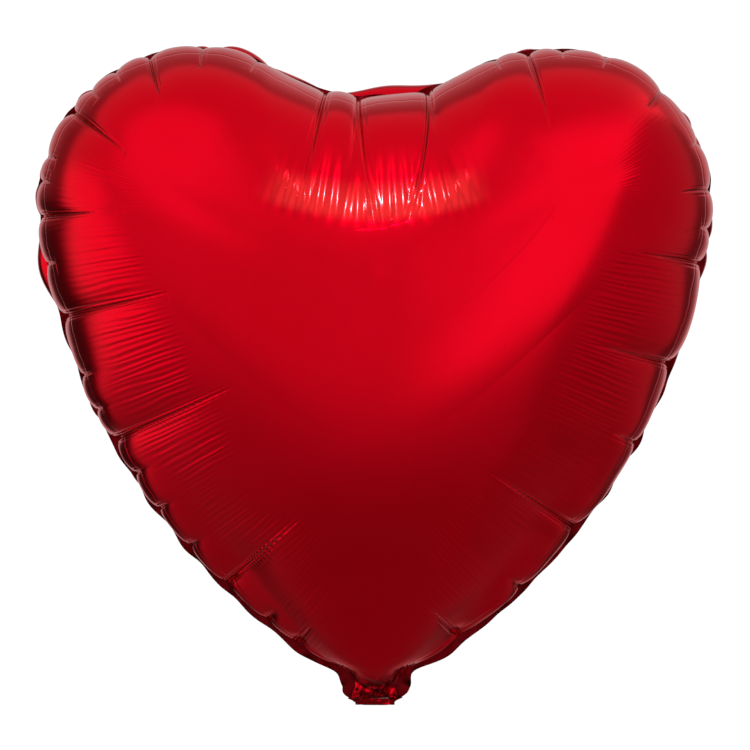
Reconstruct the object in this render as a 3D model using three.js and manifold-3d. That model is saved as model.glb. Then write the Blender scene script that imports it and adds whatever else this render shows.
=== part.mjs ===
// A heart-shaped foil balloon, blown up, with its filling tail folded back behind it.
// Millimetres, +Z up, the front panel faces -Y. The origin is the bottom of the neck, where a ribbon is tied.
//
// Four sheets of film make the whole balloon: two metallised heart panels welded together along a flat band round
// their rim, and two clear strips that lie flat in the neck as a self-sealing valve. Each panel also runs on past the
// neck as one half of the tail. The tail is a node set of its own here, because it turns about the fold at the neck.

import * as THREE from 'three';
import { ParametricGeometry } from 'three/addons/geometries/ParametricGeometry.js';
import { mergeVertices } from 'three/addons/utils/BufferGeometryUtils.js';
import Module from 'manifold-3d';

const wasm = await Module();
wasm.setup();

// ---- driving dimensions ----

// The heart's outline, made of tangent arcs.
const LOBE_X = 100; // centre of each round lobe, from the middle line
const LOBE_Z = 279.5;
const LOBE_RADIUS = 89;
const CLEFT_Z = 342; // bottom of the cleft between the lobes
const SIDE_RADIUS = 354; // the long, slightly bowed lower side
const SIDE_START = -0.15; // direction of the outline's normal where lobe and side meet, in radians
const NECK_HALF_WIDTH = 10.5;
const NECK_FILLET = 10; // hollow curve from the side into the neck
const NECK_END_Z = 4.2;

// The blown-up section.
const HALF_DEPTH = 95; // middle plane to the crown of one panel
const CROWN_Z = 205; // height of the crown
const SPINE_TOP_Z = 240; // the ribs of each panel run from a spine on the middle line out to the rim
const SPINE_LOW_Z = 9;
const SPINE_POWER = 0.9; // how fast the spine rises from the neck to the crown
const NECK_PINCH = 0.85; // share of the depth that the neck takes away at its end
const NECK_PINCH_HEIGHT = 12;
const SECTION_POWER = 2.4; // fullness of each rib between spine and rim
const RIM_PULL = 0.75; // how far each rib keeps square to the rim, as a share of its length

// Film thicknesses, thicker than real film so that each sheet is a solid.
const FOIL = 0.5;
const VALVE_FILM = 0.3;
const GAP = 0.3; // between sheets that lie on each other

// The welded band round the rim.
const WELD_OUTSIDE = 1.5;
const WELD_INSIDE = 6;
const WELD_INSIDE_AT_NECK = 2.4;
const WELD_WIDENS_OVER = 30; // height above the neck's end where the band has its full width

// The tail below the fold.
const FOLD = { y: 1.5, z: 2 }; // the line that the tail turns about
const FOLDED_ANGLE = THREE.MathUtils.degToRad(52); // between the folded tail and straight up
const TAIL_START = 0.6; // from the fold line to the tail's first edge
const TAIL_LENGTH = 62;
const TAIL_HALF_WIDTH = 11;
const TAIL_WELD_WIDTH = 2.9; // welded strip along each side of the tail

// The self-sealing valve.
const VALVE_HALF_WIDTH = 7.5;
const VALVE_TOP_Z = 110;
const INLET_START = 2;
const INLET_LENGTH = 48; // how far the valve strips reach down into the tail

const RIM_STEPS = 80; // facets round the rim
const SECTION_STEPS = 22; // facets from the front crown to the rear crown

// ---- materials ----

const material = (color, roughness, metalness) => new THREE.MeshStandardMaterial({ color, roughness, metalness });
const redFoil = () => material(0xc8001e, 0.22, 0.9);
const weldedFoil = () => material(0xa80018, 0.35, 0.85);
const clearFilm = () => {
  const film = material(0xe8ecee, 0.3, 0);
  film.transparent = true;
  film.opacity = 0.35;
  return film;
};

// ---- solids and booleans ----

// A closed mesh as a solid: corners that coincide are joined, and triangles that a pole or seam squeezed flat go.
function solidOf(geometry) {
  const bare = geometry.clone();
  bare.deleteAttribute('normal');
  bare.deleteAttribute('uv');
  const merged = mergeVertices(bare, 1e-3);
  const index = merged.index.array;
  const kept = [];
  for (let i = 0; i < index.length; i += 3) {
    const [a, b, c] = [index[i], index[i + 1], index[i + 2]];
    if (a !== b && b !== c && c !== a) kept.push(a, b, c);
  }
  return new wasm.Manifold(new wasm.Mesh({
    numProp: 3,
    vertProperties: new Float32Array(merged.attributes.position.array),
    triVerts: new Uint32Array(kept),
  }));
}

function geometryOf(solid) {
  const mesh = solid.getMesh();
  const geometry = new THREE.BufferGeometry();
  geometry.setAttribute('position', new THREE.BufferAttribute(mesh.vertProperties, 3));
  geometry.setIndex(new THREE.BufferAttribute(mesh.triVerts, 1));
  geometry.computeVertexNormals();
  return geometry;
}

const block = (width, depth, height, x, y, z) => new THREE.BoxGeometry(width, depth, height).translate(x, y, z);

// ---- the heart's outline ----

// Half of the outline from the bottom of the cleft round one lobe to the end of the neck.
function halfOutline() {
  // Cleft: an arc above the middle that touches the lobe from outside.
  const drop = CLEFT_Z - LOBE_Z;
  const cleftRadius = (LOBE_X ** 2 + drop ** 2 - LOBE_RADIUS ** 2) / (2 * (LOBE_RADIUS - drop));
  const cleftZ = CLEFT_Z + cleftRadius;
  const towardsLobe = Math.atan2(LOBE_Z - cleftZ, LOBE_X);
  // Side: a larger arc that holds the lobe and touches it where SIDE_START points.
  const sideX = LOBE_X - (SIDE_RADIUS - LOBE_RADIUS) * Math.cos(SIDE_START);
  const sideZ = LOBE_Z - (SIDE_RADIUS - LOBE_RADIUS) * Math.sin(SIDE_START);
  // Neck fillet: outside the side arc, ending upright at the neck's width.
  const filletX = NECK_HALF_WIDTH + NECK_FILLET;
  const reach = SIDE_RADIUS + NECK_FILLET;
  const filletZ = sideZ - Math.sqrt(reach ** 2 - (filletX - sideX) ** 2);
  const sideEnd = Math.atan2(filletZ - sideZ, filletX - sideX);

  const path = new THREE.Path();
  path.absarc(0, cleftZ, cleftRadius, -Math.PI / 2, towardsLobe, false);
  path.absarc(LOBE_X, LOBE_Z, LOBE_RADIUS, towardsLobe + Math.PI, SIDE_START, true);
  path.absarc(sideX, sideZ, SIDE_RADIUS, SIDE_START, sideEnd, true);
  path.absarc(filletX, filletZ, NECK_FILLET, sideEnd + Math.PI, Math.PI, false);
  path.lineTo(NECK_HALF_WIDTH, NECK_END_Z);
  path.lineTo(0, NECK_END_Z);
  return path;
}

const half = halfOutline();

// Point and outward normal of the half outline at share t of its length. Both ends lie on the middle line.
function rimPoint(t) {
  const point = half.getPointAt(t);
  const along = half.getTangentAt(t);
  const onMiddle = t === 0 || t === 1;
  return { x: onMiddle ? 0 : point.x, z: point.y, outX: onMiddle ? 0 : -along.y, outZ: along.x };
}

// ---- the blown-up shape ----

// Half depth of the balloon on its middle line at height z.
function spineDepth(z) {
  const climb = Math.sin((Math.PI / 2) * Math.min(z / CROWN_Z, 1)) ** SPINE_POWER;
  return HALF_DEPTH * climb * (1 - NECK_PINCH * Math.exp(-((z / NECK_PINCH_HEIGHT) ** 2)));
}

// One rib: it leaves the spine level and meets the rim square. s is 0 at the spine and 1 at the rim, and inset
// moves the whole rib inwards by a film's thickness.
function ribPoint(t, s, inset) {
  const rim = rimPoint(t);
  const low = SPINE_LOW_Z + inset;
  const spineZ = low + (SPINE_TOP_Z - low) * (1 - Math.sin((t * Math.PI) / 2) ** 2);
  const endX = Math.max(rim.x - rim.outX * inset, 0);
  const endZ = rim.z - rim.outZ * inset;
  const length = Math.hypot(endX, endZ - spineZ);
  const pull = RIM_PULL * length;
  const h10 = s ** 3 - 2 * s ** 2 + s;
  const h01 = 3 * s ** 2 - 2 * s ** 3;
  const h11 = s ** 3 - s ** 2;
  const x = h10 * endX + h01 * endX + h11 * rim.outX * pull;
  const z = spineZ + h01 * (endZ - spineZ) + h11 * rim.outZ * pull;
  const depth = (spineDepth(spineZ) - inset) * Math.sqrt(Math.max(1 - s ** SECTION_POWER, 0));
  return { x, z, depth };
}

// The closed pillow that the two panels make together. u runs once round the rim, v from the front spine over the rim
// to the rear spine, with the steps closing up towards the rim where the film curves most.
function pillow(inset) {
  const skin = (u, v, target) => {
    const side = u < 0.5 ? 1 : -1;
    const t = side > 0 ? 2 * u : 2 - 2 * u;
    const s = Math.sin(Math.min(v, 1 - v) * Math.PI);
    const rib = ribPoint(t, s, inset);
    const facing = v < 0.5 ? -1 : 1;
    target.set(side * rib.x, facing * rib.depth, rib.z);
  };
  return solidOf(new ParametricGeometry(skin, RIM_STEPS, SECTION_STEPS));
}

// Both panels as one skin, open at the neck so that the valve strips pass through.
function panelSkin() {
  const neckOpening = block(2 * VALVE_HALF_WIDTH + 2 * GAP, 4 * FOIL, 12, 0, 0, NECK_END_Z);
  return pillow(0).subtract(pillow(FOIL)).subtract(solidOf(neckOpening));
}

// One panel: the skin on one side of the middle plane, standing clear of the welded band.
function panel(skin, facing) {
  const clear = FOIL / 2 + GAP;
  const side = block(500, 200, 500, 0, facing * (100 + clear), 200);
  return geometryOf(skin.intersect(solidOf(side)));
}

// The flat band where the two panels are welded, narrower down at the neck and open across its end.
function perimeterWeld() {
  const edge = (out) => {
    const points = [];
    const steps = RIM_STEPS;
    for (let i = 0; i <= steps; i += 1) {
      const rim = rimPoint(i / steps);
      if (rim.x < NECK_HALF_WIDTH - 0.1 && rim.z < NECK_END_Z + 1) break;
      const rise = Math.min((rim.z - NECK_END_Z) / WELD_WIDENS_OVER, 1);
      const inside = WELD_INSIDE_AT_NECK + (WELD_INSIDE - WELD_INSIDE_AT_NECK) * rise;
      const offset = out ? WELD_OUTSIDE : -inside;
      points.push(new THREE.Vector2(rim.x + rim.outX * offset, rim.z + rim.outZ * offset));
    }
    return points;
  };
  const mirrored = (points) => points.slice(1).map((p) => new THREE.Vector2(-p.x, p.y));
  const outer = edge(true);
  const inner = edge(false);
  const outline = [...mirrored(outer).reverse(), ...outer, ...[...inner].reverse(), ...mirrored(inner)];
  const band = new THREE.ExtrudeGeometry(new THREE.Shape(outline), { depth: FOIL, bevelEnabled: false });
  return band.translate(0, 0, -FOIL / 2).rotateX(Math.PI / 2);
}

// ---- assembly ----

const balloon = new THREE.Group();

function add(parent, name, geometry, surface) {
  const mesh = new THREE.Mesh(geometry, surface);
  mesh.name = name;
  parent.add(mesh);
}

const skin = panelSkin();
add(balloon, 'front_foil_panel', panel(skin, -1), redFoil());
add(balloon, 'rear_foil_panel', panel(skin, 1), redFoil());
add(balloon, 'perimeter_heat_seal', perimeterWeld(), weldedFoil());

// The two valve strips stand in the neck and up inside the balloon, flat on each other.
for (const [name, facing] of [['valve_front_film', -1], ['valve_rear_film', 1]]) {
  const height = VALVE_TOP_Z - NECK_END_Z;
  const y = (facing * (GAP + VALVE_FILM)) / 2;
  const strip = block(2 * VALVE_HALF_WIDTH, VALVE_FILM, height, 0, y, NECK_END_Z + height / 2);
  add(balloon, name, strip, clearFilm());
}

// The tail, drawn hanging straight down from the fold line and then turned up behind the balloon.
const tail = new THREE.Group();
tail.position.set(0, FOLD.y, FOLD.z);
tail.rotation.x = Math.PI - FOLDED_ANGLE;
balloon.add(tail);

const downFrom = (start, length) => -(start + length / 2);
const innerWidth = 2 * (TAIL_HALF_WIDTH - TAIL_WELD_WIDTH - GAP);
const valveY = (GAP + VALVE_FILM) / 2;
const foilY = GAP / 2 + VALVE_FILM + GAP + FOIL / 2;
for (const [end, facing] of [['front', -1], ['rear', 1]]) {
  const film = block(innerWidth, FOIL, TAIL_LENGTH, 0, facing * foilY, downFrom(TAIL_START, TAIL_LENGTH));
  add(tail, `tail_${end}_film`, film, redFoil());
  const width = 2 * VALVE_HALF_WIDTH;
  const inlet = block(width, VALVE_FILM, INLET_LENGTH, 0, facing * valveY, downFrom(INLET_START, INLET_LENGTH));
  add(tail, `valve_inlet_${end}_film`, inlet, clearFilm());
}
for (const [side, sign] of [['left', -1], ['right', 1]]) {
  const x = sign * (TAIL_HALF_WIDTH - TAIL_WELD_WIDTH / 2);
  const weld = block(TAIL_WELD_WIDTH, 2 * FOIL, TAIL_LENGTH, x, 0, downFrom(TAIL_START, TAIL_LENGTH));
  add(tail, `tail_${side}_heat_seal`, weld, weldedFoil());
}

export default balloon;
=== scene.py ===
import bpy
import numpy as np
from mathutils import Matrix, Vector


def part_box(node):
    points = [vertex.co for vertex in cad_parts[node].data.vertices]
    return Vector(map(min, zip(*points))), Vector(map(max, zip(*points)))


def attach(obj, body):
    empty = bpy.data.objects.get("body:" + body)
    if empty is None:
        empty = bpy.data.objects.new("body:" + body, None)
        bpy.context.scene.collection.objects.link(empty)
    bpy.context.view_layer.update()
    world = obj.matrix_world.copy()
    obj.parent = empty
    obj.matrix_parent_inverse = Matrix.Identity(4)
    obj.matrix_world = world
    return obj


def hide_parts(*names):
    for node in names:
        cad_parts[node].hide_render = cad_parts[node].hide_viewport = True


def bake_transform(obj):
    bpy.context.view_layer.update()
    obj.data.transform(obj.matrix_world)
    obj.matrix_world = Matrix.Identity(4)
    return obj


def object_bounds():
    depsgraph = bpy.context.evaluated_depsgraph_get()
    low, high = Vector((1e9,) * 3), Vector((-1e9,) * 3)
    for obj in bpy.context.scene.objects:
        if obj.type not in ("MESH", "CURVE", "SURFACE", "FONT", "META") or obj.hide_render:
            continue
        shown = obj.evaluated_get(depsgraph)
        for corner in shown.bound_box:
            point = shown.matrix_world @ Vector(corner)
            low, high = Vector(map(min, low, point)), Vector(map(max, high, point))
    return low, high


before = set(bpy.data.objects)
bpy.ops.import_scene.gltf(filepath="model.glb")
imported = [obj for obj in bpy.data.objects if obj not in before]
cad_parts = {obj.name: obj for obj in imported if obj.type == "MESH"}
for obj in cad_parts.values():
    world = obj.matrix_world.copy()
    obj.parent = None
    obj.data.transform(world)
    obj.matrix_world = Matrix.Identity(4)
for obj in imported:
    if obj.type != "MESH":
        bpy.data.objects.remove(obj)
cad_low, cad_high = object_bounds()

# ---------------------------------------------------------------------------
# Camera
# Level with the middle of the heart and square to its front panel, from far
# enough away that the rim is seen almost without perspective.
# ---------------------------------------------------------------------------
VIEW_DISTANCE = 2.0
VIEW_HEIGHT_SHARE = 1.1035  # what the frame takes in, as a share of the balloon's width

balloon_width = cad_high.x - cad_low.x
view_centre = (cad_low.z + cad_high.z) / 2

camera_data = bpy.data.cameras.new("camera")
camera_data.sensor_width = 36
camera_data.lens = camera_data.sensor_width * VIEW_DISTANCE / (VIEW_HEIGHT_SHARE * balloon_width)
camera = bpy.data.objects.new("camera", camera_data)
camera.location = (0, -VIEW_DISTANCE, view_centre)
camera.rotation_euler = (np.pi / 2, 0, 0)
bpy.context.scene.collection.objects.link(camera)
bpy.context.scene.camera = camera

# ---------------------------------------------------------------------------
# Front foil panel
# One heart cut from thin nylon and polyethylene film, metallised and lacquered
# red, welded to its twin along the rim. Blown up, the rim is too long for the
# shape, so the film gathers in pillows with sharp tucks between them.
# ---------------------------------------------------------------------------
MM = 0.001

panel_low, panel_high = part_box("front_foil_panel")
HALF_WIDTH = panel_high.x / MM
CROWN_DEPTH = -panel_low.y / MM
TOP = panel_high.z / MM + 0.3  # the lobes' tops between the facets
NECK_END = panel_low.z / MM
LOBE_RADIUS = 0.4715 * HALF_WIDTH
LOBE_X = HALF_WIDTH - LOBE_RADIUS
LOBE_Z = TOP - LOBE_RADIUS
CLEFT_Z = TOP - 0.1404 * HALF_WIDTH
SIDE_RADIUS = 1.8755 * HALF_WIDTH
SIDE_START = -0.15  # direction of the outline's normal where lobe meets side
NECK_HALF_WIDTH = 10.5
NECK_FILLET = 10

CROWN_Z = 205  # height of the deepest point
SPINE_TOP = 240  # the spine is the middle line of the form that every rib starts from
SPINE_LOW = 9
RIB_PULL = 0.75  # how straight the ribs leave the rim, as a share of their length
PINCH = 0.85  # how far the neck is drawn flat
PINCH_HEIGHT = 12


def rim_arcs():
    """The arcs of the half outline as (centre x, centre z, radius, first angle, last angle, outward).

    An arc in the cleft, the lobe's arc, the long side arc and the neck's hollow fillet follow each
    other tangentially. outward is -1 where the outline is hollow.
    """
    drop = CLEFT_Z - LOBE_Z
    cleft_radius = (LOBE_X**2 + drop**2 - LOBE_RADIUS**2) / (2 * (LOBE_RADIUS - drop))
    cleft_centre = CLEFT_Z + cleft_radius
    to_lobe = np.arctan2(LOBE_Z - cleft_centre, LOBE_X)
    side_x = LOBE_X - (SIDE_RADIUS - LOBE_RADIUS) * np.cos(SIDE_START)
    side_z = LOBE_Z - (SIDE_RADIUS - LOBE_RADIUS) * np.sin(SIDE_START)
    fillet_x = NECK_HALF_WIDTH + NECK_FILLET
    fillet_z = side_z - np.sqrt((SIDE_RADIUS + NECK_FILLET) ** 2 - (fillet_x - side_x) ** 2)
    side_end = np.arctan2(fillet_z - side_z, fillet_x - side_x)
    return (
        (0, cleft_centre, cleft_radius, -np.pi / 2, to_lobe, -1),
        (LOBE_X, LOBE_Z, LOBE_RADIUS, to_lobe + np.pi, SIDE_START, 1),
        (side_x, side_z, SIDE_RADIUS, SIDE_START, side_end, 1),
        (fillet_x, fillet_z, NECK_FILLET, side_end + np.pi, np.pi, -1),
    )


def heart_rim(shares):
    """The half outline from cleft to neck at shares of its length: points, outward normals, length.

    Each arc is its radius times (cosine, sine) about its centre, and two straight lines end the neck.
    """
    arcs = rim_arcs()
    fillet_z = arcs[3][1]
    stretches = []
    for centre_x, centre_z, radius, first, last, outward in arcs:
        turn = np.linspace(first, last, 600)
        way = np.stack([np.cos(turn), np.sin(turn)])
        stretches.append(np.vstack([[[centre_x], [centre_z]] + radius * way, outward * way]))
    down = np.linspace(fillet_z, NECK_END, 20)
    stretches.append(np.stack([down * 0 + NECK_HALF_WIDTH, down, down * 0 + 1, down * 0]))
    across = np.linspace(NECK_HALF_WIDTH, 0, 100)
    stretches.append(np.stack([across, across * 0 + NECK_END, across * 0, across * 0 - 1]))
    line = np.hstack(stretches)
    run = np.concatenate([[0], np.cumsum(np.hypot(*np.diff(line[:2], axis=1)))])
    at = np.interp(shares, run / run[-1], np.arange(len(run)))
    x, z, out_x, out_z = (np.interp(at, np.arange(len(run)), values) for values in line)
    size = np.hypot(out_x, out_z)
    return x, z, out_x / size, out_z / size, run[-1]


def panel_form(share, across):
    """The smooth blown-up panel, in millimetres: x to the right, depth from the middle plane, height z.

    Each rib is a cubic Hermite curve that leaves the spine level and meets the rim square. Its depth is
    the spine's depth times the square root of 1 minus powers 2 and 2.7 of across. The spine's depth is a
    power of a quarter sine wave, pinched by a bell curve at the neck.
    """
    rim_x, rim_z, out_x, out_z, _ = heart_rim(share)
    spine_z = SPINE_LOW + (SPINE_TOP - SPINE_LOW) * np.cos(share * np.pi / 2) ** 2
    reach = np.hypot(rim_x, rim_z - spine_z) * RIB_PULL
    leave = across**3 - 2 * across**2 + across
    arrive = 3 * across**2 - 2 * across**3
    square = across**3 - across**2
    x = (leave + arrive) * rim_x + square * out_x * reach
    z = spine_z + arrive * (rim_z - spine_z) + square * out_z * reach
    climb = np.sin(np.pi / 2 * np.minimum(spine_z / CROWN_Z, 1)) ** 0.9
    depth = CROWN_DEPTH * climb * (1 - PINCH * np.exp(-((spine_z / PINCH_HEIGHT) ** 2)))
    return x, depth * np.sqrt(np.maximum(1 - 0.3 * across**2 - 0.7 * across**2.7, 0)), z


HALF_RIM = float(heart_rim(np.array([0.0, 1.0]))[4])
RIM = 2 * HALF_RIM


NOTCH = 4.0  # depth of the shortest tuck's notch in the rim
NOTCH_GROWTH = 1.2  # how much deeper the longest one's is
CLEFT_SPAN = 55  # how far round the rim the cleft's shallow notches go


def tucks(right, left):
    """Tucks as rows of (place round the rim, reach inwards, notch depth, lean), in millimetres.

    Each tuck is listed as its share of the way from cleft to neck, its reach and its lean.
    The notch it makes in the rim grows with its reach, and is shallower in the cleft.
    """
    rows = [(place * HALF_RIM, reach, lean) for place, reach, lean in right]
    rows += [(RIM - place * HALF_RIM, reach, -lean) for place, reach, lean in left]
    place, reach, lean = np.array(sorted(rows)).T
    notch = NOTCH + NOTCH_GROWTH * (1 - np.exp(-reach / 16))
    notch *= 1 - 0.65 * np.exp(-((np.minimum(place, RIM - place) / CLEFT_SPAN) ** 4))
    return np.stack([place, reach, notch, lean])


FRONT_TUCKS = tucks(
    right=[
        (0.048, 66, -0.24), (0.117, 8, 0), (0.149, 46, 0.08), (0.183, 7, 0), (0.225, 9, 0),
        (0.288, 15, 0), (0.348, 6, 0), (0.394, 20, 0), (0.432, 7, 0), (0.465, 36, 0),
        (0.564, 46, 0.05), (0.645, 15, 0), (0.744, 56, 0), (0.82, 6, 0), (0.895, 26, 0.1),
        (0.95, 7, 0),
    ],
    left=[
        (0.015, 70, -0.12), (0.045, 56, -0.03), (0.114, 9, 0), (0.168, 14, 0), (0.22, 27, 0),
        (0.256, 9, 0), (0.285, 10, 0), (0.312, 42, 0), (0.362, 9, 0), (0.386, 8, 0), (0.42, 34, 0),
        (0.465, 8, 0), (0.517, 58, 0), (0.575, 10, 0), (0.61, 6, 0), (0.643, 68, 0), (0.68, 6, 0),
        (0.72, 8, 0), (0.766, 7, 0), (0.816, 54, 0), (0.868, 7, 0), (0.904, 15, 0), (0.95, 7, 0),
    ],
)


def gather_lines(x, z):
    """Where each point's gather line starts on the rim, and how far the point is from the rim.

    The gathers run square to the rim: towards the centre of the arc that is nearest, or away from it in
    the cleft. On the sides they lean down a little as they go in.
    """
    size = np.full(np.shape(x), np.inf)
    foot = np.zeros(np.shape(x))
    before = 0
    for centre_x, centre_z, radius, first, last, outward in rim_arcs():
        turn = np.arctan2(z - centre_z, np.abs(x) - centre_x)
        share = (turn - first) / (last - first)
        gap = np.hypot(z - centre_z, np.abs(x) - centre_x)
        gap = radius - gap if outward > 0 else gap - radius
        length = radius * abs(last - first)
        near = np.clip(share, 0, 1)
        rim_x = centre_x + radius * np.cos(first + near * (last - first))
        rim_z = centre_z + radius * np.sin(first + near * (last - first))
        gap = np.where(share == near, gap, np.hypot(np.abs(x) - rim_x, z - rim_z))
        closer = gap < size
        size = np.where(closer, gap, size)
        foot = np.where(closer, before + near * length, foot)
        before += length
    lean = 0.12 * np.exp(-(((foot / HALF_RIM - 0.6) / 0.25) ** 4))
    foot = foot - lean * size
    return np.where(x > 0, foot, RIM - foot), np.maximum(size, 0)


def tuck_spans(place, rows):
    """The tucks on either side of each place round the rim, and the share of the way between them."""
    where = rows[0]
    order = np.searchsorted(where, place)
    before, after = (order - 1) % len(where), order % len(where)
    start = np.where(order == 0, where[before] - RIM, where[before])
    end = np.where(order == len(where), where[after] + RIM, where[after])
    return before, after, (place - start) / (end - start), end - start


NOTCH_FADE = 18  # how far inwards a notch fades out
TUCK_END = 1.15  # where a tuck has run out, as a share of its reach
LONG_TUCK = 22  # tucks with more reach than this have broad pillows between them


def rim_pillows(place, inward, rows):
    """How far the film is drawn in at the rim between the tops of its pillows.

    Between two tucks a pillow is 1 minus a power of the distance from its middle, square rooted, so it
    is round on top and falls steeply into both tucks. Long pillows have flatter tops than short ones.
    The depth fades inwards as a bell curve.
    """
    before, after, share, span = tuck_spans(place, rows)
    flatness = 2 + 1.6 * np.clip((span - 20) / 40, 0, 1)
    pillow = np.sqrt(1 - np.abs(2 * share - 1) ** flatness)
    depth = (1 - share) * rows[2][before] + share * rows[2][after]
    return 1.15 * depth * np.exp(-((inward / NOTCH_FADE) ** 2)) * (1 - pillow)


def long_pillows(place, inward, into, rows):
    """The broad pillows between long tucks: parabolas across, whose depth at each tuck starts a little
    inside the rim and runs out as a smooth step a little past the tuck's end."""
    rows = rows[:, rows[1] > LONG_TUCK]
    before, after, share, span = tuck_spans(place, rows)

    def depth(which):
        left = np.clip(TUCK_END - into / rows[1][which], 0, 1)
        deep = 1.4 + rows[1][which] / 32
        return deep * left * left * (3 - 2 * left) * (1 - np.exp(-((inward / 9) ** 2)))

    across = np.abs(2 * share - 1)
    return ((1 - share) * depth(before) + share * depth(after)) * (0.6 * across**2 + 0.4 * across**8)


FAR_FROM_TUCK = 18.0  # stands for every distance that is too far for a tuck's line


def tuck_lines(place, into, rows):
    """For the finish: how far each point is beside its nearest tuck, and how strong that tuck is there."""
    beside = np.full(np.broadcast(place, into).shape, FAR_FROM_TUCK)
    strong = np.zeros(beside.shape)
    for where, reach, _, lean in rows.T:
        away = (place - where - lean * into + HALF_RIM) % RIM - HALF_RIM
        left = np.clip(TUCK_END - into / reach, 0, 1)
        fade = left * (2 - left) * min(0.85 + reach / 60, 1.3)
        closer = (np.abs(away) < np.abs(beside)) & (fade > 0)
        beside = np.where(closer, away, beside)
        strong = np.where(closer, fade * np.clip(1 - np.abs(away) / 8, 0, 1), strong)
    return beside, strong


def slow_wave(place, waves, seed):
    """A wandering wave round the rim from -1 to 1: a sum of whole-numbered sines with seeded phases."""
    rng = np.random.default_rng(seed)
    total = sum(np.sin(2 * np.pi * n * place / RIM + rng.uniform(0, 2 * np.pi)) for n in waves)
    return total / np.sqrt(len(waves))


def seam_line(place):
    """The welded seam that both panels share: how far inside the outline, and how far to the rear."""
    inset = 5.2 + 0.8 * slow_wave(place, (31, 37, 44), 5)
    sway = 1.6 * slow_wave(place, (17, 23, 29, 41), 6)
    at_neck = np.exp(-(((place - HALF_RIM) / 42) ** 2))
    return inset * (1 - 0.6 * at_neck), sway * (1 - at_neck)


def grid_normals(x, y, z):
    """Unit normals of a grid of points, as the cross product of its two directions of travel."""
    points = np.stack([x, y, z], axis=-1)
    normal = np.cross(np.gradient(points, axis=0), np.gradient(points, axis=1))
    size = np.linalg.norm(normal, axis=-1, keepdims=True)
    return normal / np.maximum(size, 1e-9)


def neck_shape(points):
    """Makes the neck a crumpled cone. A parabola that starts 8 mm above its end draws it down to the
    fold of the tail. One bell curve widens it above that and another draws it in where it meets the
    heart. Crossed sines crumple its depth."""
    x, y, z = points[..., 0], points[..., 1], points[..., 2]
    z = z - 3.2 * np.clip((NECK_END + 8 - z) / 8, 0, 1) ** 2
    x = x * (1 + 0.5 * np.exp(-(((z - 6) / 5) ** 2)) - 0.2 * np.exp(-(((z - 19) / 5) ** 2)))
    crumple = np.sin(x * 0.9 + z * 0.5) * np.sin(z * 0.8 - x * 0.35 + 1) + 0.6 * np.sin(x * 1.7 - z * 1.1)
    y = y * (1 + 0.3 * crumple * np.exp(-((z / 11) ** 2)))
    return np.stack([x, y, z], axis=-1)


COLUMNS = 800  # steps from cleft to neck, closer together at the tucks
ROWS = 60  # steps from spine to rim, closer together at the rim
FILM_MAP = 200.0  # millimetres inwards that fill the film map once
TUCK_MAP = 40.0  # millimetres beside a tuck that fill the tuck map once
PILLOW_TOP = 14  # how far inwards the pillows stand out furthest


def column_shares(rows, count):
    """Steps from cleft to neck in shares of the way. Their spacing is the inverse of a density that a
    bell curve raises at every tuck on either side."""
    even = np.linspace(0, 1, 6000)
    side_place = np.where(rows[0] > HALF_RIM, RIM - rows[0], rows[0])[:, None]
    density = 1 + 0.8 * np.exp(-(((even * HALF_RIM - side_place) / 3) ** 2)).sum(axis=0)
    climb = np.concatenate([[0], np.cumsum((density[1:] + density[:-1]) / 2)])
    return np.interp(np.linspace(0, 1, count), climb / climb[-1], even)


def panel_surface(rows, facing, swell, dome):
    """One panel with its gathers, as a grid from cleft to neck and from left rim over the spine to right
    rim.

    The smooth form is moved along its own normal by the pillows and the dome's creases, and
    near the rim it is drawn back to the seam, so that the pillows bulge out past the welded band.
    facing is -1 for the front panel and 1 for the rear one. Gives points in metres, and two maps for
    the finish: the gather line and distance inwards, and the nearest tuck's offset and strength.
    """
    share = column_shares(rows, COLUMNS)[:, None]
    spread = (np.arange(ROWS + 1) / ROWS) ** 1.5
    half = np.cos(np.pi / 2 * spread)  # from 1 at the rim to 0 at the spine
    across = np.concatenate([-half, half[-2::-1]])[None, :]
    side = np.where(across > 0, 1, -1)
    x, depth, z = panel_form(share, np.abs(across))
    x, y = np.sign(across) * x, facing * depth
    normal = grid_normals(x, y, z)
    normal *= np.sign((normal * np.stack([x, y * 2, z * 0], -1)).sum(-1).mean())

    steps = np.sqrt(np.diff(x, axis=1) ** 2 + np.diff(y, axis=1) ** 2 + np.diff(z, axis=1) ** 2)
    from_left = np.concatenate([np.zeros((COLUMNS, 1)), np.cumsum(steps, axis=1)], axis=1)
    inward = np.minimum(from_left, from_left[:, -1:] - from_left)
    place = np.where(side > 0, share * HALF_RIM, RIM - share * HALF_RIM) + inward * 0

    gather, into = gather_lines(x, z)
    bulge = swell(gather) * np.exp(-(((inward - PILLOW_TOP) / 22) ** 2))
    seen = 1 - np.exp(-((inward / 5) ** 2))
    relief = seen * (bulge - rim_pillows(gather, inward, rows))
    relief -= long_pillows(gather, inward, into, rows)
    relief += dome(x, z, gather, into)
    moved = normal * relief[..., None]

    _, _, out_x, out_z, _ = heart_rim(share)
    inset, sway = seam_line(place)
    drawn = inset * np.exp(-((inward / 4.6) ** 1.4))
    moved[..., 0] -= np.sign(across) * out_x * drawn
    moved[..., 2] -= out_z * drawn
    moved[..., 1] += sway * np.exp(-((inward / 12) ** 2))
    points = np.stack([x, y, z], axis=-1) + moved
    points = neck_shape(points)
    beside, strong = tuck_lines(gather, into, rows)
    return points * MM, (gather / RIM, into / FILM_MAP), (beside / TUCK_MAP + 0.5, strong)


def add_piece(name, points, faces):
    """Puts a new mesh into the scene, shaded smooth."""
    mesh = bpy.data.meshes.new(name)
    mesh.from_pydata(points.reshape(-1, 3), [], faces)
    mesh.polygons.foreach_set("use_smooth", np.ones(len(mesh.polygons), bool))
    piece = bpy.data.objects.new(name, mesh)
    bpy.context.scene.collection.objects.link(piece)
    return piece


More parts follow.
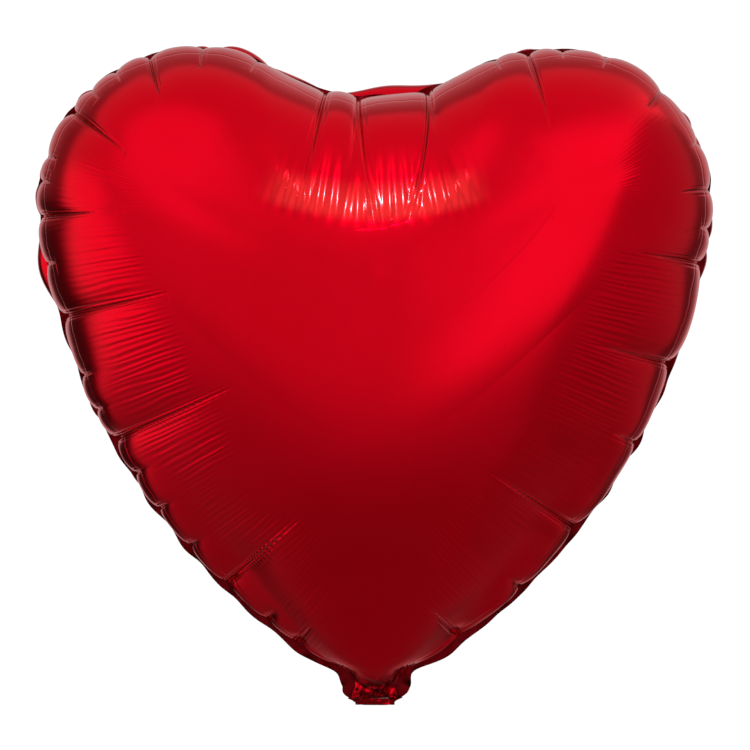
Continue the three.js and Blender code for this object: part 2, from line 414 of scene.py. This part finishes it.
def add_map(piece, name, corners):
    """Gives a piece one UV map, with a pair of values for each corner of each face."""
    layer = piece.data.uv_layers.new(name=name)
    layer.data.foreach_set("uv", corners.astype(np.float32).ravel())


def panel_mesh(name, points, film, tuck, facing):
    """Faces of a panel's grid. The first and last columns lie on the middle line, so their left and
    right halves share points. Each map stays on one side of the middle line within each half."""
    columns, width = points.shape[:2]
    middle = width // 2
    index = np.arange(columns * width).reshape(columns, width)
    for end in (0, -1):
        index[end, :middle] = index[end, : middle : -1]
        points[end, :, 0] = 0
        points[end, :middle] = points[end, : middle : -1]
    a, b = index[:-1, :-1], index[1:, :-1]
    c, d = index[1:, 1:], index[:-1, 1:]
    quads = np.stack([a, b, c, d] if facing < 0 else [d, c, b, a], axis=-1).reshape(-1, 4)
    piece = add_piece(name, points, quads.tolist())

    here, onward = slice(0, -1), slice(1, None)
    left = np.arange(width - 1)[None, :] < middle
    for map_name, (across, along) in (("film", film), ("tuck", tuck)):
        corners = []
        for corner in ((here, here), (onward, here), (onward, onward), (here, onward)):
            u = across[corner]
            if map_name == "film":
                u = np.where(left, np.maximum(u, 1 - u), np.minimum(u, 1 - u))
            corners.append(np.stack([u, along[corner]], axis=-1))
        add_map(piece, map_name, np.stack(corners if facing < 0 else corners[::-1], axis=-2))
    return piece


class Shade:
    """One shader socket. Arithmetic on it adds Math nodes, so that a finish reads as a formula."""

    def __init__(self, tree, socket=None):
        self.tree, self.socket = tree, socket

    def node(self, kind, settings=None, sockets=None, output=0):
        """Adds one node, its settings first and then the value or link of each socket."""
        made = self.tree.nodes.new(kind)
        for name, value in (settings or {}).items():
            if name == "stops":
                stops = made.color_ramp.elements
                while len(stops) < len(value):
                    stops.new(0.5)
                for stop, (position, colour) in zip(stops, value):
                    stop.position, stop.color = position, colour
            else:
                setattr(made, name, value)
        for name, value in (sockets or {}).items():
            if isinstance(value, Shade):
                self.tree.links.new(value.socket, made.inputs[name])
            else:
                made.inputs[name].default_value = value
        return Shade(self.tree, made.outputs[output] if made.outputs else None)

    def maths(self, operation, *terms):
        return self.node("ShaderNodeMath", {"operation": operation}, dict(enumerate(terms)))

    def ease(self, low, high):
        """Rises smoothly from 0 at low to 1 at high, or falls if high is the smaller."""
        sockets = {0: self, 1: low, 2: high}
        return self.node("ShaderNodeMapRange", {"interpolation_type": "SMOOTHSTEP"}, sockets)

    def part(self, which):
        """One of the three numbers of a vector."""
        return self.node("ShaderNodeSeparateXYZ", sockets={0: self}, output=which)

    def noise(self, scale, detail):
        """Cloudy noise over a vector, around 0.5."""
        return self.node("ShaderNodeTexNoise", sockets={"Vector": self, "Scale": scale, "Detail": detail})

    def blend(self, under, over):
        """Goes from the colour under to the colour over as this value goes from 0 to 1."""
        return self.node("ShaderNodeMix", {"data_type": "RGBA"}, {"Factor": self, 6: under, 7: over}, 2)

    def __add__(self, other):
        return self.maths("ADD", self, other)

    def __sub__(self, other):
        return self.maths("SUBTRACT", self, other)

    def __rsub__(self, other):
        return self.maths("SUBTRACT", other, self)

    def __mul__(self, other):
        return self.maths("MULTIPLY", self, other)

    __radd__, __rmul__ = __add__, __mul__


def new_finish(name):
    """A material with no nodes yet, and the Shade that adds them."""
    material = bpy.data.materials.new(name)
    material.use_nodes = True
    material.node_tree.nodes.clear()
    return material, Shade(material.node_tree)


RED_BRIGHT = (0.88, 0.0, 0.014, 1)
RED_DEEP = (0.78, 0.0, 0.01, 1)
RED_PAINTED_HIGHLIGHT = (0.9, 0.022, 0.025, 1)  # painted highlight: a paler red on the tips of the comb of close folds below the cleft, so the lamp's glints there read white
RED_PAINTED_SHADE = (0.16, 0.0, 0.002, 1)  # painted shade: a dark red at the bottom of the neck, where the film is drawn together
RIB_PITCH = 3.3  # millimetres round the rim from one fine rib to the next
COMB_PITCH = 4.6
COMB_HEIGHT = 2.9  # of the comb's folds, as a multiple of the ribs'
NECK_TOP = 0.02  # the painted shade of the neck is below this height, in metres


def foil_finish(name, bright, deep, roughness, rib_height, tuck_depth):
    """Metallised film under tinted lacquer: a metal of varied red with a faint clear coat. Its colour is
    painted paler on the comb's tips as a painted highlight, and darker at the bottom of the neck as
    painted shade. Its bump, in millimetres, is the close ribs inside the pillows, the sharp lines of the
    tucks, grain and scuffs."""
    material, start = new_finish(name)
    place = start.node("ShaderNodeTexCoord", output="Object")
    film = start.node("ShaderNodeUVMap", {"uv_map": "film"})
    tuck = start.node("ShaderNodeUVMap", {"uv_map": "tuck"})
    around = film.part(0) * RIM
    into = film.part(1) * FILM_MAP
    beside = (tuck.part(0) - 0.5) * TUCK_MAP
    strong = tuck.part(1)

    # Ribs: two sines across the gathers that wander, in patches a little way in from the rim.
    wander = start.node("ShaderNodeMapping", sockets={"Vector": film, "Scale": (70, 3, 1)}).noise(1.0, 2.0)
    patch = start.node("ShaderNodeMapping", sockets={"Vector": film, "Scale": (34, 6, 1)}).noise(1.0, 1.0)
    phase = around * (2 * np.pi / RIB_PITCH) + wander * 16.0
    wave = start.maths("SINE", phase) + start.maths("SINE", phase * 0.53 + 1.0) * 0.6
    window = (into + patch * 20.0).ease(16.0, 40.0) * (into - patch * 40.0).ease(46.0, 24.0)
    from_cleft = start.maths("MINIMUM", around, RIM - around)
    past_lobes = from_cleft.ease(0.3 * HALF_RIM, 0.42 * HALF_RIM)
    ribs = wave * window * patch.ease(0.25, 0.6) * (past_lobes * 0.9 + 0.1)

    # Comb: deeper folds side by side, where the film below the cleft has the most slack.
    below_cleft = from_cleft.ease(42.0, 28.0) * into.ease(24.0, 56.0) * into.ease(80.0, 68.0)
    comb = start.maths("SINE", around * (2 * np.pi / COMB_PITCH) + wander * 2.0)
    # Painted highlight: on the comb's tips the base colour turns a paler red; the metal there is also
    # smoother and less grainy.
    painted_highlight_tips = below_cleft * into.ease(48.0, 62.0) * into.ease(76.0, 69.0)
    ribs = ribs * (1 - below_cleft) + comb * below_cleft * COMB_HEIGHT

    def line(offset, width):
        off = beside - offset
        return start.maths("EXPONENT", off * off * (-1 / width**2))

    folds = (line(0.0, 0.8) + line(2.8, 0.6) * 0.35 + line(-2.3, 0.5) * 0.2) * strong
    off_weld = into - wander * 3.0 - 4.4
    pressed = start.maths("EXPONENT", off_weld * off_weld * -9.0)

    broad = place.noise(14.0, 3.0)
    grain = place.noise(900.0, 2.0)
    scuffs = place.noise(190.0, 6.0)
    scuffed = scuffs.ease(0.66, 0.76)
    # Painted shade: in patches below NECK_TOP the base colour turns dark red, standing in for the shade in
    # the crumpled neck.
    neck_painted_shade = place.part(2).ease(NECK_TOP, 0.6 * NECK_TOP) * scuffs.ease(0.62, 0.5)

    colour = (broad * 1.6 - 0.4).blend(deep, bright)
    # Painted highlight on the comb's tips, then painted shade at the bottom of the neck.
    colour = painted_highlight_tips.blend(colour, RED_PAINTED_HIGHLIGHT)
    colour = neck_painted_shade.blend(colour, RED_PAINTED_SHADE)
    rough = broad * 0.06 + grain * 0.05 + scuffed * 0.1 + (roughness - 0.055) - painted_highlight_tips * 0.06
    relief = ribs * rib_height - folds * tuck_depth - pressed * 0.12 + broad * 0.3
    relief = relief + grain * (1 - painted_highlight_tips * 0.9) * 0.012
    bump = start.node("ShaderNodeBump", sockets={"Height": relief, "Strength": 1.0, "Distance": MM})
    foil = start.node(
        "ShaderNodeBsdfPrincipled",
        sockets={
            "Base Color": colour,
            "Metallic": 1.0,
            "Roughness": rough,
            "Normal": bump,
            "Coat Weight": 0.04 - scuffed * 0.02,
            "Coat Roughness": 0.07,
            "Coat IOR": 1.5,
        },
    )
    start.node("ShaderNodeOutputMaterial", sockets={"Surface": foil})
    return material


SAG_END = 76  # how far in from the cleft the slack film stands up in a kink
SAG_DEPTH = 4.2
SAG_KINK = 0.15  # how soft that kink is


def front_swell(place):
    """How far the pillow tops stand out past the mean outline, a little more on some than on others."""
    at_neck = np.exp(-(((place - HALF_RIM) / 75) ** 2))
    at_cleft = np.exp(-((np.minimum(place, RIM - place) / 45) ** 2))
    return (1.6 + 0.7 * slow_wave(place, (9, 14, 21), 11)) * (1 - 0.85 * at_neck - 0.9 * at_cleft)


def front_dome(x, z, gather, into):
    """Faint long creases that cross the front crown: shallow bell-shaped grooves along straight lines.
    Below the cleft a half sine sinks the film, and it ends in a kink where the slack film stands up."""
    total = np.zeros_like(x)
    for start, end, deep, wide in (
        ((130, 295), (55, 262), 0.5, 6),
        ((145, 300), (70, 275), 0.45, 5),
        ((-120, 290), (-60, 255), 0.5, 7),
        ((10, 262), (-6, 190), 0.35, 9),
    ):
        way = np.subtract(end, start)
        length = np.hypot(*way)
        along = ((x - start[0]) * way[0] + (z - start[1]) * way[1]) / length
        beside = ((x - start[0]) * way[1] - (z - start[1]) * way[0]) / length
        ends = np.exp(-(((along - length / 2) / (0.42 * length)) ** 4))
        total -= deep * ends * np.exp(-((beside / wide) ** 2))
    from_cleft = np.minimum(gather, RIM - gather)
    inside = 1 - SAG_KINK * np.logaddexp(0, (1 - into / SAG_END) / SAG_KINK)
    sunk = SAG_DEPTH * np.sin(np.pi * np.clip(inside, 0, 1)) * np.exp(-((from_cleft / 48) ** 4))
    return total * (1 - np.exp(-into / 15)) - sunk


front_points, front_film, front_tuck = panel_surface(FRONT_TUCKS, -1, front_swell, front_dome)
front_foil = panel_mesh("front_foil", front_points, front_film, front_tuck, -1)
red_foil = foil_finish("red_foil", RED_BRIGHT, RED_DEEP, 0.19, 0.06, 1.1)
front_foil.data.materials.append(red_foil)
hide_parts("front_foil_panel")
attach(front_foil, "envelope")

# ---------------------------------------------------------------------------
# Rear foil panel
# The twin of the front panel, from the same roll and die, welded face to face
# with it. Its own tucks fall in other places, and its pillows swell a little
# further out, so they show past the front ones round the edge.
# ---------------------------------------------------------------------------
REAR_TUCKS = tucks(
    right=[
        (0.078, 60, 0.05), (0.105, 12, 0), (0.13, 52, 0.1), (0.165, 8, 0), (0.2, 26, 0), (0.245, 9, 0),
        (0.275, 38, 0), (0.31, 8, 0), (0.335, 12, 0), (0.37, 44, 0), (0.405, 9, 0), (0.445, 30, 0),
        (0.49, 12, 0), (0.53, 56, 0), (0.59, 14, 0), (0.63, 34, 0), (0.69, 60, 0), (0.735, 9, 0),
        (0.78, 40, 0), (0.845, 52, 0.1), (0.91, 18, 0), (0.955, 8, 0),
    ],
    left=[
        (0.044, 58, 0.1), (0.105, 16, 0), (0.16, 48, 0), (0.19, 8, 0), (0.215, 30, 0), (0.25, 9, 0),
        (0.28, 44, 0), (0.305, 8, 0), (0.355, 26, 0), (0.385, 8, 0), (0.422, 40, 0), (0.518, 50, 0),
        (0.545, 10, 0), (0.58, 36, 0), (0.625, 58, 0), (0.665, 9, 0), (0.7, 28, 0), (0.75, 60, 0),
        (0.79, 9, 0), (0.84, 46, 0.1), (0.89, 12, 0), (0.94, 20, 0),
    ],
)


def rear_swell(place):
    """The rear pillows stand out furthest in the cleft, beside the neck, down the left side and over both
    lobes: a sum of bell curves round the rim."""
    side = place / HALF_RIM
    total = 1.0 + 1.2 * slow_wave(place, (13, 19, 26), 12)
    for middle, width, height in (
        (0.02, 0.075, 4.8), (1.0, 0.08, 3.0), (1.22, 0.1, 2.4), (1.36, 0.05, 2.0),
        (1.53, 0.035, 5.0), (1.6, 0.04, 3.4), (1.7, 0.05, 2.0), (1.867, 0.04, 4.8),
        (0.24, 0.05, 1.6), (0.34, 0.05, 2.8), (0.43, 0.03, 3.2),
    ):
        total += height * np.exp(-(((side - middle + 1) % 2 - 1) / width) ** 2)
    return total


def rear_dome(x, z, gather, into):
    """Faint long creases across the rear crown, where the flat panel was folded in its packet."""
    upright = np.exp(-((x / 5) ** 2)) * np.exp(-(((z - 190) / 90) ** 4))
    level = np.exp(-(((z - 200) / 5) ** 2)) * np.exp(-((x / 110) ** 4))
    return -(0.35 * upright + 0.3 * level) * (1 - np.exp(-into / 15))


rear_points, rear_film, rear_tuck = panel_surface(REAR_TUCKS, 1, rear_swell, rear_dome)
rear_foil = panel_mesh("rear_foil", rear_points, rear_film, rear_tuck, 1)
rear_foil.data.materials.append(red_foil)
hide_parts("rear_foil_panel")
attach(rear_foil, "envelope")

# ---------------------------------------------------------------------------
# Rim weld
# The band where the two panels are welded face to face, outside the gas space.
# It is too long for the blown-up rim, so it ruffles and lies between pillows.
# ---------------------------------------------------------------------------
WELD_WIDTH = 5.2
WELD_LAP = 0.6  # how far the band reaches in under the panels' edges
WELD_HALF_THICKNESS = 0.12
WELD_STOP = 11  # the band ends this far round the rim from the middle of the neck


def weld_band(along, around):
    """A flat closed band carried along the seam from one side of the neck round to the other.

    Its section is a flattened ring: width from a cosine, thickness from a power of a sine. The band
    tapers to nothing at both ends, and swings to and fro more and more towards its free edge.
    """
    last = HALF_RIM - WELD_STOP
    run = np.linspace(-last, last, along)[:, None]
    turn = np.linspace(0, 2 * np.pi, around, endpoint=False)[None, :]
    taper = 1 - np.abs(run / last) ** 150
    place = run % RIM
    x, z, out_x, out_z, _ = heart_rim(np.abs(run) / HALF_RIM)
    inset, sway = seam_line(place)
    width = -WELD_LAP + (WELD_WIDTH + WELD_LAP) * (0.5 - 0.5 * np.cos(turn)) * taper
    ruffle = 1.1 * slow_wave(place, (57, 71, 88), 7) * (np.clip(width, 0, None) / WELD_WIDTH) ** 1.5
    thick = WELD_HALF_THICKNESS * np.sign(np.sin(turn)) * np.abs(np.sin(turn)) ** 0.4 * taper
    away = width - inset
    side = np.sign(run)
    points = np.stack([side * (x + out_x * away), sway + ruffle - thick, z + out_z * away], axis=-1)
    return neck_shape(points) * MM


def ring_mesh(name, points):
    """Faces of a closed ring carried along a path. Each end is closed by one face."""
    along, around = points.shape[:2]
    index = np.arange(along * around).reshape(along, around)
    here, onward = index, np.roll(index, -1, axis=1)
    quads = np.stack([here[:-1], here[1:], onward[1:], onward[:-1]], axis=-1).reshape(-1, 4)
    ends = [index[0].tolist(), index[-1, ::-1].tolist()]
    piece = add_piece(name, points, quads.tolist() + ends)
    piece.data.validate()
    return piece


def weld_finish(name, colour, crimp_size):
    """Welded foil: the given red metal, darker and duller in cloudy patches, with the welding bar's fine
    crimp in it.
    """
    material, start = new_finish(name)
    place = start.node("ShaderNodeTexCoord", output="Object")
    crimp = start.node("ShaderNodeTexVoronoi", {"feature": "F1"}, {"Vector": place, "Scale": crimp_size})
    cloud = place.noise(120.0, 3.0)
    dull = [c * 0.6 for c in colour[:3]] + [1]
    tone = start.node("ShaderNodeValToRGB", {"stops": [(0.3, dull), (0.75, colour)]}, {0: cloud})
    bump = start.node("ShaderNodeBump", sockets={"Height": crimp, "Strength": 0.5, "Distance": 0.0003})
    foil = start.node(
        "ShaderNodeBsdfPrincipled",
        sockets={
            "Base Color": tone,
            "Metallic": 1.0,
            "Roughness": cloud * 0.2 + 0.2,
            "Normal": bump,
            "Coat Weight": 0.05,
            "Coat Roughness": 0.2,
        },
    )
    start.node("ShaderNodeOutputMaterial", sockets={"Surface": foil})
    return material


rim_weld = ring_mesh("rim_weld", weld_band(2600, 20))
# Painted shade: the welds' red is painted near black, standing in for the shade the weld lies in between
# the pillows.
welded_foil = weld_finish("welded_foil", (0.16, 0.0, 0.003, 1), 1500.0)
rim_weld.data.materials.append(welded_foil)
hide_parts("perimeter_heat_seal")
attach(rim_weld, "envelope")

# ---------------------------------------------------------------------------
# Valve films
# Two narrow strips of clear film hang up inside the neck. Gas pushes in between
# them, and the pressure in the balloon then presses them shut.
# ---------------------------------------------------------------------------
VALVE_GAP = 0.15  # from the middle plane to each film


def strip_mesh(name, points):
    """Faces of a plain grid of points, with a UV map from 0 to 1 over its width and length."""
    long, wide = points.shape[:2]
    index = np.arange(long * wide).reshape(long, wide)
    a, b = index[:-1, :-1], index[:-1, 1:]
    c, d = index[1:, 1:], index[1:, :-1]
    quads = np.stack([a, b, c, d], axis=-1).reshape(-1, 4)
    piece = add_piece(name, points, quads.tolist())
    flat = np.stack(np.meshgrid(np.linspace(0, 1, wide), np.linspace(0, 1, long)), axis=-1)
    flat = flat.reshape(-1, 2)
    add_map(piece, "film", flat[quads.ravel()])
    add_map(piece, "tuck", flat[quads.ravel()] * 0)
    piece.data.validate()
    return piece


def valve_strip(facing, half_width, low, high):
    """An upright strip that lies close to the middle plane. Two crossed sines ripple it by half a
    millimetre, and both films share the ripple, so they stay shut against each other."""
    height = np.linspace(low, high, 90)[:, None]
    across = np.linspace(-half_width, half_width, 21)[None, :]
    ripple = 0.5 * np.sin(height / 9) * np.sin(across / 4 + height / 30)
    ripple *= np.clip((height - low) / 20, 0, 1)
    y = facing * VALVE_GAP + ripple + 0 * across
    return np.stack([across + 0 * height, y, height + 0 * across], axis=-1) * MM


def clear_finish(name):
    """Clear film: a faintly grey gloss that lets most light through, with cloudy streaks along it."""
    material, start = new_finish(name)
    place = start.node("ShaderNodeTexCoord", output="Object")
    streak = start.node("ShaderNodeMapping", sockets={"Vector": place, "Scale": (900, 300, 40)})
    cloud = streak.noise(1.0, 3.0)
    bump = start.node("ShaderNodeBump", sockets={"Height": cloud, "Strength": 0.3, "Distance": 0.0002})
    film = start.node(
        "ShaderNodeBsdfPrincipled",
        sockets={
            "Base Color": (0.86, 0.88, 0.9, 1),
            "Roughness": cloud * 0.15 + 0.05,
            "Alpha": cloud * 0.3 + 0.2,
            "Normal": bump,
        },
    )
    start.node("ShaderNodeOutputMaterial", sockets={"Surface": film})
    return material


valve_film = clear_finish("valve_film")
for side_name, facing in (("front", -1), ("rear", 1)):
    valve_low, valve_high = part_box(f"valve_{side_name}_film")
    half_width = valve_high.x / MM
    points = valve_strip(facing, half_width, valve_low.z / MM, valve_high.z / MM)
    strip = strip_mesh(f"valve_{side_name}_strip", points)
    strip.data.materials.append(valve_film)
    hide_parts(f"valve_{side_name}_film")
    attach(strip, f"valve_{side_name}")

# ---------------------------------------------------------------------------
# Filling tail
# Both panels run on below the neck as a flat tail, with the clear inlet films
# between them and a weld down each edge. It is folded up behind the balloon.
# ---------------------------------------------------------------------------
TAIL_ANGLE = np.radians(52)  # of the folded tail, from straight up
TAIL_LENGTH = 62.6  # from the hinge of the fold to the cut end
TAIL_HALF_WIDTH = 11
TAIL_WELD = 2.9
TAIL_FILM_HALF = 8.5  # the films reach a little way into the welds
TAIL_STEPS = 1500
FOLD_Y, FOLD_Z = 1.5, 2
SLEEVE_TOP = 4.4  # where the tail starts, inside the neck
BEND_TOP = 1.2  # where the straight stretch ends and the fold begins
BOW = 1.2  # of the folded stretch
INLET_START = 60  # how far from the tail's cut end each inlet film starts and ends
INLET_END = 12.6


def tail_line(count):
    """The tail's middle line in the plane x = 0: y, z and the unit normal that points forwards and down.

    It runs straight down inside the neck, round the fold as a quadratic curve, and then straight along
    the folded direction with a slow bow, a sine over its length. Gives those as columns, and its length.
    """
    lean_y, lean_z = np.sin(TAIL_ANGLE), np.cos(TAIL_ANGLE)
    down = np.linspace(SLEEVE_TOP, BEND_TOP, 12, endpoint=False)
    turn = np.linspace(0, 1, 24, endpoint=False)
    end_y, end_z = FOLD_Y + lean_y, FOLD_Z + lean_z
    bend_y = turn**2 * end_y
    bend_z = (1 - turn) ** 2 * BEND_TOP + 2 * turn * (1 - turn) * 0.3 + turn**2 * end_z
    out = np.linspace(1, TAIL_LENGTH, 120)
    bow = BOW * np.sin((out - 1) / (TAIL_LENGTH - 1) * np.pi)
    y = np.concatenate([0 * down, bend_y, FOLD_Y + out * lean_y + bow * lean_z])
    z = np.concatenate([down, bend_z, FOLD_Z + out * lean_z - bow * lean_y])
    run = np.concatenate([[0], np.cumsum(np.hypot(np.diff(y), np.diff(z)))])
    even = np.linspace(0, run[-1], count)
    y, z = np.interp(even, run, y), np.interp(even, run, z)
    way_y, way_z = np.gradient(y), np.gradient(z)
    size = np.hypot(way_y, way_z)
    return [value[:, None] for value in (y, z, way_z / size, -way_y / size)], run[-1]


def tail_sheet(offset, half_width, first, last, count, puff):
    """A film of the tail: its middle line swept sideways, lifted off it by offset in the middle of its
    width and by nothing at its welded edges, with shallow puckers at the edges: a product of sines."""
    line, length = tail_line(TAIL_STEPS)
    run = np.linspace(first, last, count)[:, None]
    pick = np.round(run[:, 0] / length * (TAIL_STEPS - 1))
    pick = np.clip(pick, 0, TAIL_STEPS - 1).astype(int)
    y, z, normal_y, normal_z = (value[pick] for value in line)
    across = np.linspace(-half_width, half_width, 41)[None, :]
    edge = (across / half_width) ** 2
    lift = offset * (1 - edge**3) + puff * np.sin(run / 2.3 + np.sign(across)) * edge
    lift = lift + puff * 1.5 * np.sin(run / 11) * np.sin(across / 5 + run / 25)
    return np.stack([across + 0 * run, y + normal_y * lift, z + normal_z * lift], axis=-1) * MM


TAIL_RUN = float(tail_line(3)[1])
for side_name, offset in (("front", 0.42), ("rear", -0.42)):
    points = tail_sheet(offset, TAIL_FILM_HALF, 0, TAIL_RUN, 240, 0.08)
    film = strip_mesh(f"tail_{side_name}_foil", points)
    film.data.materials.append(red_foil)
    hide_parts(f"tail_{side_name}_film")
    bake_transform(film)

for side_name, offset in (("front", 0.2), ("rear", -0.2)):
    inlet_low, inlet_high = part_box(f"valve_inlet_{side_name}_film")
    half_width = inlet_high.x / MM
    points = tail_sheet(offset, half_width, TAIL_RUN - INLET_START, TAIL_RUN - INLET_END, 160, 0.05)
    film = strip_mesh(f"inlet_{side_name}_strip", points)
    film.data.materials.append(valve_film)
    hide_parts(f"valve_inlet_{side_name}_film")
    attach(film, "tail")


def tail_weld(side):
    """One welded edge of the tail: a flattened ring carried along the tail's middle line at its edge."""
    (y, z, normal_y, normal_z), _ = tail_line(300)
    turn = np.linspace(0, 2 * np.pi, 16, endpoint=False)[None, :]
    run = np.linspace(0, TAIL_RUN, 300)[:, None]
    middle_x = TAIL_HALF_WIDTH - TAIL_WELD / 2
    x = middle_x - TAIL_WELD / 2 * np.cos(turn) + 0 * run
    thick = 0.14 * np.sign(np.sin(turn)) * np.abs(np.sin(turn)) ** 0.4
    lift = thick + 0.08 * np.sin(run / 2.3 + side)
    lift += 0.12 * np.sin(run / 11) * np.sin(side * x / 5 + run / 25)
    points = np.stack([side * x, y + normal_y * lift, z + normal_z * lift], axis=-1)
    return (points if side < 0 else points[:, ::-1]) * MM


for side_name, side in (("left", -1), ("right", 1)):
    edge_weld = ring_mesh(f"tail_{side_name}_weld", tail_weld(side))
    edge_weld.data.materials.append(welded_foil)
    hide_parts(f"tail_{side_name}_heat_seal")
    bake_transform(edge_weld)

# ---------------------------------------------------------------------------
# Floor, lights and surroundings
# A small pale floor that fades out at its edge, and one narrow lamp high in
# front. The rest of what the foil mirrors is the world: a dim room with bright
# parts to the right, the left and above, dark edges, and white paper behind.
# ---------------------------------------------------------------------------
FLOOR_Z = -0.09
FLOOR_RADIUS = 0.45


def floor_disc(radius, height):
    """A flat disc: rings of growing radius round the middle, as cosine and sine of the turn."""
    turn = np.linspace(0, 2 * np.pi, 96, endpoint=False)[None, :]
    ring = np.linspace(0.002, radius, 24)[:, None]
    points = np.stack([ring * np.cos(turn), ring * np.sin(turn), height + 0 * ring * turn], axis=-1)
    index = np.arange(ring.size * turn.size).reshape(ring.size, turn.size)
    onward = np.roll(index, -1, axis=1)
    quads = np.stack([index[:-1], index[1:], onward[1:], onward[:-1]], axis=-1).reshape(-1, 4)
    return add_piece("floor", points, quads.tolist() + [index[0].tolist()])


def paper_finish(name, radius):
    """Pale paper, with a fine tooth, that fades to nothing near its edge."""
    material, start = new_finish(name)
    place = start.node("ShaderNodeTexCoord", output="Object")
    flat = start.node("ShaderNodeVectorMath", {"operation": "MULTIPLY"}, {0: place, 1: (1, 1, 0)})
    away = start.node("ShaderNodeVectorMath", {"operation": "LENGTH"}, {0: flat}, 1)
    fade = away.ease(radius * 0.35, radius * 0.98)
    tooth = place.noise(400.0, 3.0)
    bump = start.node("ShaderNodeBump", sockets={"Height": tooth, "Strength": 0.2, "Distance": 0.0002})
    paper = start.node(
        "ShaderNodeBsdfPrincipled",
        sockets={"Base Color": (0.86, 0.86, 0.86, 1), "Roughness": tooth * 0.2 + 0.7, "Normal": bump},
    )
    clear = start.node("ShaderNodeBsdfTransparent")
    mixed = start.node("ShaderNodeMixShader", sockets={0: fade, 1: paper, 2: clear})
    start.node("ShaderNodeOutputMaterial", sockets={"Surface": mixed})
    return material


floor = floor_disc(FLOOR_RADIUS, FLOOR_Z)
floor.data.materials.append(paper_finish("paper", FLOOR_RADIUS))
floor.visible_glossy = False


LAMP_PLACE = (0.02, -0.95, 1.42)
LAMP_AIM = (0.0, -0.05, 0.28)  # the dip below the cleft
LAMP_WIDTH, LAMP_HEIGHT = 0.07, 0.3
LAMP_GLOW = 0.13  # times four and the lamp's area, this is its power

light = bpy.data.lights.new("top_box", "AREA")
light.shape = "RECTANGLE"
light.size, light.size_y = LAMP_WIDTH, LAMP_HEIGHT
light.energy = 4 * LAMP_WIDTH * LAMP_HEIGHT * LAMP_GLOW
light.spread = np.radians(2)
lamp = bpy.data.objects.new("top_box", light)
lamp.location = LAMP_PLACE
direction = np.subtract(LAMP_AIM, LAMP_PLACE)
tilt = np.arctan2(np.hypot(direction[0], direction[1]), -direction[2])
lamp.rotation_euler = (tilt, 0, np.arctan2(-direction[0], direction[1]))
bpy.context.scene.collection.objects.link(lamp)

world = bpy.data.worlds.new("studio")
bpy.context.scene.world = world
world.use_nodes = True
world.node_tree.nodes.clear()
sky = Shade(world.node_tree)
way = sky.node("ShaderNodeTexCoord", output="Generated")
right, behind, up = way.part(0), way.part(1), way.part(2)

# The room, and the bright parts of it to the left, the right and above left.
room = 0.24 + up.ease(-0.85, -0.1) * 0.42 + up.ease(0.1, 0.7) * 0.04
room = room * (1 - right.ease(0.73, 0.77) * 0.34)
window = right.ease(-0.84, -0.95) * up.ease(-0.6, -0.35) * up.ease(0.45, 0.2)
window = window * behind.ease(0.2, 0.05) * 0.4
key = right.ease(0.02, 0.44) * right.ease(0.765, 0.725)
key = key * up.ease(-0.5, -0.2) * up.ease(0.85, 0.6) * 0.42
towards_spot = {0: way, 1: (-0.47, -0.66, 0.58)}
near_spot = sky.node("ShaderNodeVectorMath", {"operation": "DOT_PRODUCT"}, towards_spot, 1)
spot = near_spot.ease(0.86, 0.975) * 0.3

# The dark edge beside the balloon, wider at the lower left, and the white paper behind it.
left_below = (right * -0.8 + up * -0.6).ease(-0.4, 0.4)
below = up.ease(0.2, -0.1)
high = up.ease(0.05, 0.4)
low = up.ease(-0.5, -0.8)
edge = behind.ease(0.3 - left_below * 0.16, 0.42 - left_below * 0.14)
edge = edge * (0.55 + below * 0.22 + left_below * 0.17) * (1 - low * 0.8)
backdrop = behind.ease(0.72 - high * 0.4 - low * 0.42, 0.84 + high * 0.14 + low * 0.1)
glow = (room + key + spot + window) * (1 - edge) * (1 - backdrop) + backdrop * 0.6

# Seen directly, the surroundings are plain white.
seen_directly = sky.node("ShaderNodeLightPath", output="Is Camera Ray")
strength = glow * (1 - seen_directly) + seen_directly * 1.05
background = sky.node("ShaderNodeBackground", sockets={"Color": (1, 1, 1, 1), "Strength": strength})
sky.node("ShaderNodeOutputWorld", sockets={"Surface": background})

bpy.context.scene.view_settings.view_transform = "Standard"
